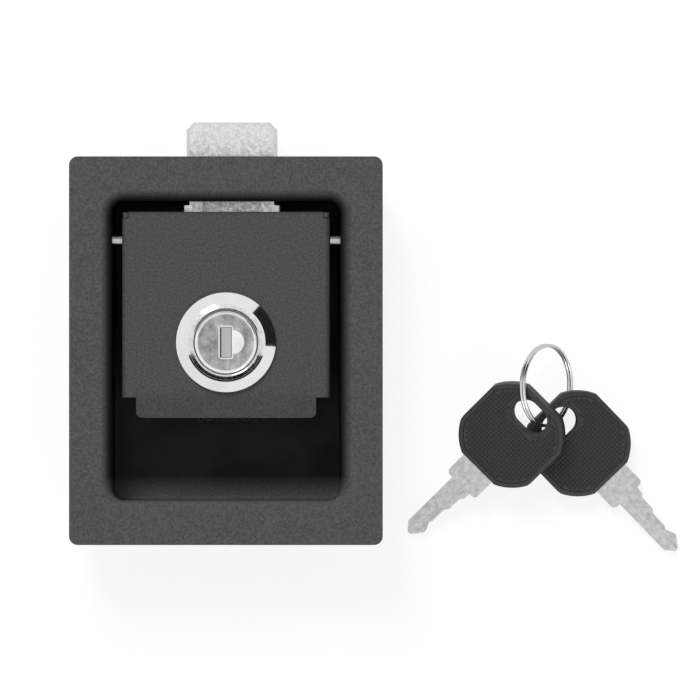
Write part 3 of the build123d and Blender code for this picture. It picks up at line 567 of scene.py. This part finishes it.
bm = bmesh.new()
edge_x = LOCK_AXIS[0] + SLOT_HALF[0] + 0.05
start = chain(bm, [(edge_x, LOCK_AXIS[1] - r, CAP_TOP - down) for r, down in MOON_DISH])
spun(bm, start, (edge_x, LOCK_AXIS[1], 0), 180, 32)
finish_piece("cap_half_moon", bm, moon_chrome, "lock_plug")

# %% [markdown]
# ## The key heads
# Each head is a black moulded disc with four flats, a raised border, a sunken grip field and
# an oval hole with a slight collar.  It is built as rings of points that are bridged one after
# another, out over the top, round the side and back through the hole, like a section carried
# round.  A fine step half way up the side is the mould's parting line.

# %% Key head shape
HEAD_R, HEAD_FLATS, HEAD_T = 15.3, 27.6, 5.4
BORDER, SINK, EDGE = 1.3, 0.5, 0.45
HOLE_L, HOLE_W, HOLE_X = 11.0, 8.0, -7.9


def head_outline(inset, z):
    """Where a ray from the hole's middle meets the disc with four flats."""
    radius, flat = HEAD_R - inset, HEAD_FLATS / 2 - inset

    def point(angle):
        c, d = cos(angle), sin(angle)
        along = -HOLE_X * c + sqrt(radius * radius - (HOLE_X * d) ** 2)
        if abs(c) > 1e-9:
            along = min(along, ((flat if c > 0 else -flat) - HOLE_X) / c)
        if abs(d) > 1e-9:
            along = min(along, flat / abs(d))
        return HOLE_X + along * c, along * d, z
    return point


def hole_outline(grow, z):
    """Where the same ray meets the oval hole."""
    r, straight = HOLE_W / 2 + grow, (HOLE_L - HOLE_W) / 2

    def point(angle):
        c, d = cos(angle), abs(sin(angle))
        along = r / abs(c) if abs(c) > 1e-9 else 1e9
        if along * d > straight:
            along = straight * d + sqrt(r * r - (straight * c) ** 2)
        return HOLE_X + along * c, along * sin(angle), z
    return point


def key_head_bmesh():
    bm = bmesh.new()
    half = HEAD_T / 2
    top = half - SINK
    over = [head_outline(0, 0.16), head_outline(0, half - EDGE),
            head_outline(EDGE * 0.3, half - EDGE * 0.3), head_outline(EDGE, half),
            head_outline(BORDER, half), head_outline(BORDER + 0.25, top),
            hole_outline(0.95, top), hole_outline(0.8, half - 0.22),
            hole_outline(0.25, half - 0.22), hole_outline(0, half - 0.5)]
    under = [(lambda f: lambda a: (f(a)[0], f(a)[1], -f(a)[2]))(f) for f in over]
    rings = [head_outline(0.12, 0)] + over + under[::-1]
    bridge(bm, [loop_of(bm, 128, ring) for ring in rings], closed=True)
    return bm


def grip_dots(bm, side):
    """Rows of small blunt pyramids over the sunken field."""
    pitch, z = 1.0, HEAD_T / 2 - SINK
    count = int(HEAD_R / pitch) + 1
    for i in range(-count, count + 1):
        for j in range(-count, count + 1):
            x, y = (i + 0.5) * pitch, (j + 0.5) * pitch
            limit = HEAD_R - BORDER - 0.8
            field = x * x + y * y < limit * limit and max(abs(x), abs(y)) < (
                HEAD_FLATS / 2 - BORDER - 0.7)
            over_hole = abs(x - HOLE_X) < HOLE_W / 2 + 1.4 and abs(y) < HOLE_L / 2 + 1.3
            corner = ((abs(x - HOLE_X)) ** 2 + max(0, abs(y) - 1.5) ** 2) ** 0.5
            if not field or (over_hole and corner < HOLE_W / 2 + 1.5):
                continue
            spot = Matrix.Translation((x * MM, y * MM, side * (z + 0.12) * MM))
            turn = Matrix.Rotation(pi / 4, 4, "Z")
            flip = Matrix.Rotation(0 if side > 0 else pi, 4, "X")
            bmesh.ops.create_cone(bm, cap_ends=True, segments=4, radius1=0.55 * MM,
                                  radius2=0.18 * MM, depth=0.28 * MM,
                                  matrix=spot @ flip @ turn)


def key_frame(node, heading, tilt):
    """Where a key lies: centred on its CAD head, turned to its heading, its tip lowered."""
    low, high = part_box(node)
    return (Matrix.Translation((low + high) / 2) @ Matrix.Rotation(radians(heading), 4, "Z")
            @ Matrix.Rotation(radians(tilt), 4, "Y"))


# %% Make both key heads
KEYS = {"left": (-135.0, 14.2), "right": (-46.0, 5.4)}
for side, (heading, tilt) in KEYS.items():
    bm = key_head_bmesh()
    for face_side in (1, -1):
        grip_dots(bm, face_side)
    bm.transform(key_frame("key_head_" + side, heading, tilt))
    finish_piece("key_grip_" + side, bm, key_plastic, "key_set",
                 ["key_head_" + side])

# %% [markdown]
# ## Springs that move
# The torsion springs wind round the pin: their long legs stay on the pan's floor and their
# short legs follow the paddle.  Here each is copied from its solid as one piece of spring
# wire that rides on no body.  The bolt's springs are copied the same way and ride on the latch.

# %% Springs


def spring_piece(node, body=None):
    bm = bmesh.new()
    bm.from_mesh(nodes[node].data)
    return finish_piece(node + "_wire", bm, wire_steel, body, [node], 60)


for side, sign in (("left", -1), ("right", 1)):
    twist = spring_piece("paddle_spring_" + side)
    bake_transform(twist)
    push = spring_piece("bolt_spring_" + side, "latch")
    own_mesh(push)

# %% [markdown]
# ## Floor, light and camera
# The latch lies on a white table under a camera that looks straight down.  A long lens keeps
# the well's walls nearly parallel.  The light is soft: a pale room, a wide lamp beyond the
# latch's top, a steeper one that reaches the well's floor past the lip, and a weak one from
# below, which alone is seen in metal.  Two dark shapes are seen only by polished metal: a
# card gives the lock's bevelled ring its dark sector, and a band darkens the moat's lower
# half.

# %% Table
table_z = cad_low.z
bm = bmesh.new()
bmesh.ops.create_grid(bm, x_segments=1, y_segments=1, size=6.0)
bmesh.ops.translate(bm, verts=bm.verts, vec=(0.0356, 0, table_z))
table_mesh = bpy.data.meshes.new("table")
bm.to_mesh(table_mesh)
bm.free()
table = bpy.data.objects.new("table", table_mesh)
bpy.context.scene.collection.objects.link(table)

paper = Finish("table paper", grey(238), 0.85)
paper.tint(paper.noise(40, 3), 0.985, 1.01)
paper.bump(paper.noise(700, 2), 0.03, 0.05)
glow = paper.add("ShaderNodeEmission")
glow.inputs["Color"].default_value = (1, 1, 1, 1)
glow.inputs["Strength"].default_value = 1.08
rays = paper.add("ShaderNodeLightPath")
seen = paper.add("ShaderNodeMath", operation="MULTIPLY")
seen.inputs[1].default_value = 0.8
paper.link(rays.outputs["Is Camera Ray"], seen.inputs[0])
blend_light = paper.add("ShaderNodeMixShader")
paper.link(seen.outputs[0], blend_light.inputs["Fac"])
paper.link(paper.shader.outputs[0], blend_light.inputs[1])
paper.link(glow.outputs[0], blend_light.inputs[2])
output = [n for n in paper.tree.nodes if n.type == "OUTPUT_MATERIAL"][0]
paper.link(blend_light.outputs[0], output.inputs["Surface"])
table_mesh.materials.append(paper.material)
print("table at z", round(table_z, 4))

# %% Room light
world = bpy.data.worlds.new("studio")
bpy.context.scene.world = world
world.use_nodes = True
sky = world.node_tree
room = sky.nodes["Background"]
room.inputs["Color"].default_value = (1, 1, 1, 1)
path = sky.nodes.new("ShaderNodeLightPath")
bright = sky.nodes.new("ShaderNodeMath")
bright.operation = "MAXIMUM"
sky.links.new(path.outputs["Is Camera Ray"], bright.inputs[0])
sky.links.new(path.outputs["Is Glossy Ray"], bright.inputs[1])
strength = sky.nodes.new("ShaderNodeMapRange")
strength.inputs["To Min"].default_value = 0.36
strength.inputs["To Max"].default_value = 0.9
sky.links.new(bright.outputs[0], strength.inputs["Value"])
sky.links.new(strength.outputs["Result"], room.inputs["Strength"])


def soft_lamp(name, place, size, power, seen_in_metal):
    light = bpy.data.lights.new(name, "AREA")
    light.size = size
    light.energy = power
    lamp = bpy.data.objects.new(name, light)
    bpy.context.scene.collection.objects.link(lamp)
    lamp.location = place
    lamp.visible_glossy = seen_in_metal
    lamp.rotation_euler = (Vector((0.03, 0, 0)) - Vector(place)).to_track_quat(
        "-Z", "Y").to_euler()


soft_lamp("upper lamp", (-0.45, 1.15, 1.3), 0.5, 15.5, False)
soft_lamp("steep lamp", (-0.2, 0.85, 1.6), 0.35, 7, False)
soft_lamp("lower lamp", (0.6, -1.2, 1.2), 0.5, 2.5, True)

black = Finish("card black", grey(20), 0.9)
black.tint(black.noise(8, 2), 0.8, 1.2)


def reflected_only(name, bm):
    """A dark card that only polished surfaces see."""
    mesh = bpy.data.meshes.new(name)
    bm.to_mesh(mesh)
    bm.free()
    mesh.materials.append(black.material)
    made = bpy.data.objects.new(name, mesh)
    bpy.context.scene.collection.objects.link(made)
    made.visible_camera = made.visible_diffuse = made.visible_shadow = False


bm = bmesh.new()
bmesh.ops.create_grid(bm, x_segments=1, y_segments=1, size=0.5)
bmesh.ops.scale(bm, verts=bm.verts, vec=(0.9, 0.5, 1))
aim = Vector((cos(radians(22)) * cos(radians(24)), sin(radians(22)) * cos(radians(24)),
              sin(radians(24))))
bmesh.ops.transform(bm, verts=bm.verts, matrix=Matrix.Translation(aim)
                    @ aim.to_track_quat("Z", "Y").to_matrix().to_4x4())
reflected_only("dark card", bm)

bm = bmesh.new()
turn = Matrix.Rotation(radians(20), 3, "Z")
strip = [turn @ Vector((1000 * cos(radians(e)), 0, 1000 * sin(radians(e)))) for e in (38, 50, 64)]
spun(bm, chain(bm, strip), (0, 0, 0), 140, 32)
reflected_only("dark band", bm)

# %% Camera
VIEW_W = 0.2009
VIEW_CENTRE = (0.0356, 0.0002)
CAMERA_UP = 2.6
camera_data = bpy.data.cameras.new("camera")
camera_data.lens = 36 * CAMERA_UP / VIEW_W
camera_data.clip_end = 20
camera = bpy.data.objects.new("camera", camera_data)
bpy.context.scene.collection.objects.link(camera)
camera.location = (*VIEW_CENTRE, CAMERA_UP)
bpy.context.scene.camera = camera
bpy.context.scene.view_settings.view_transform = "Standard"
print("lens", round(camera_data.lens, 1), "mm")
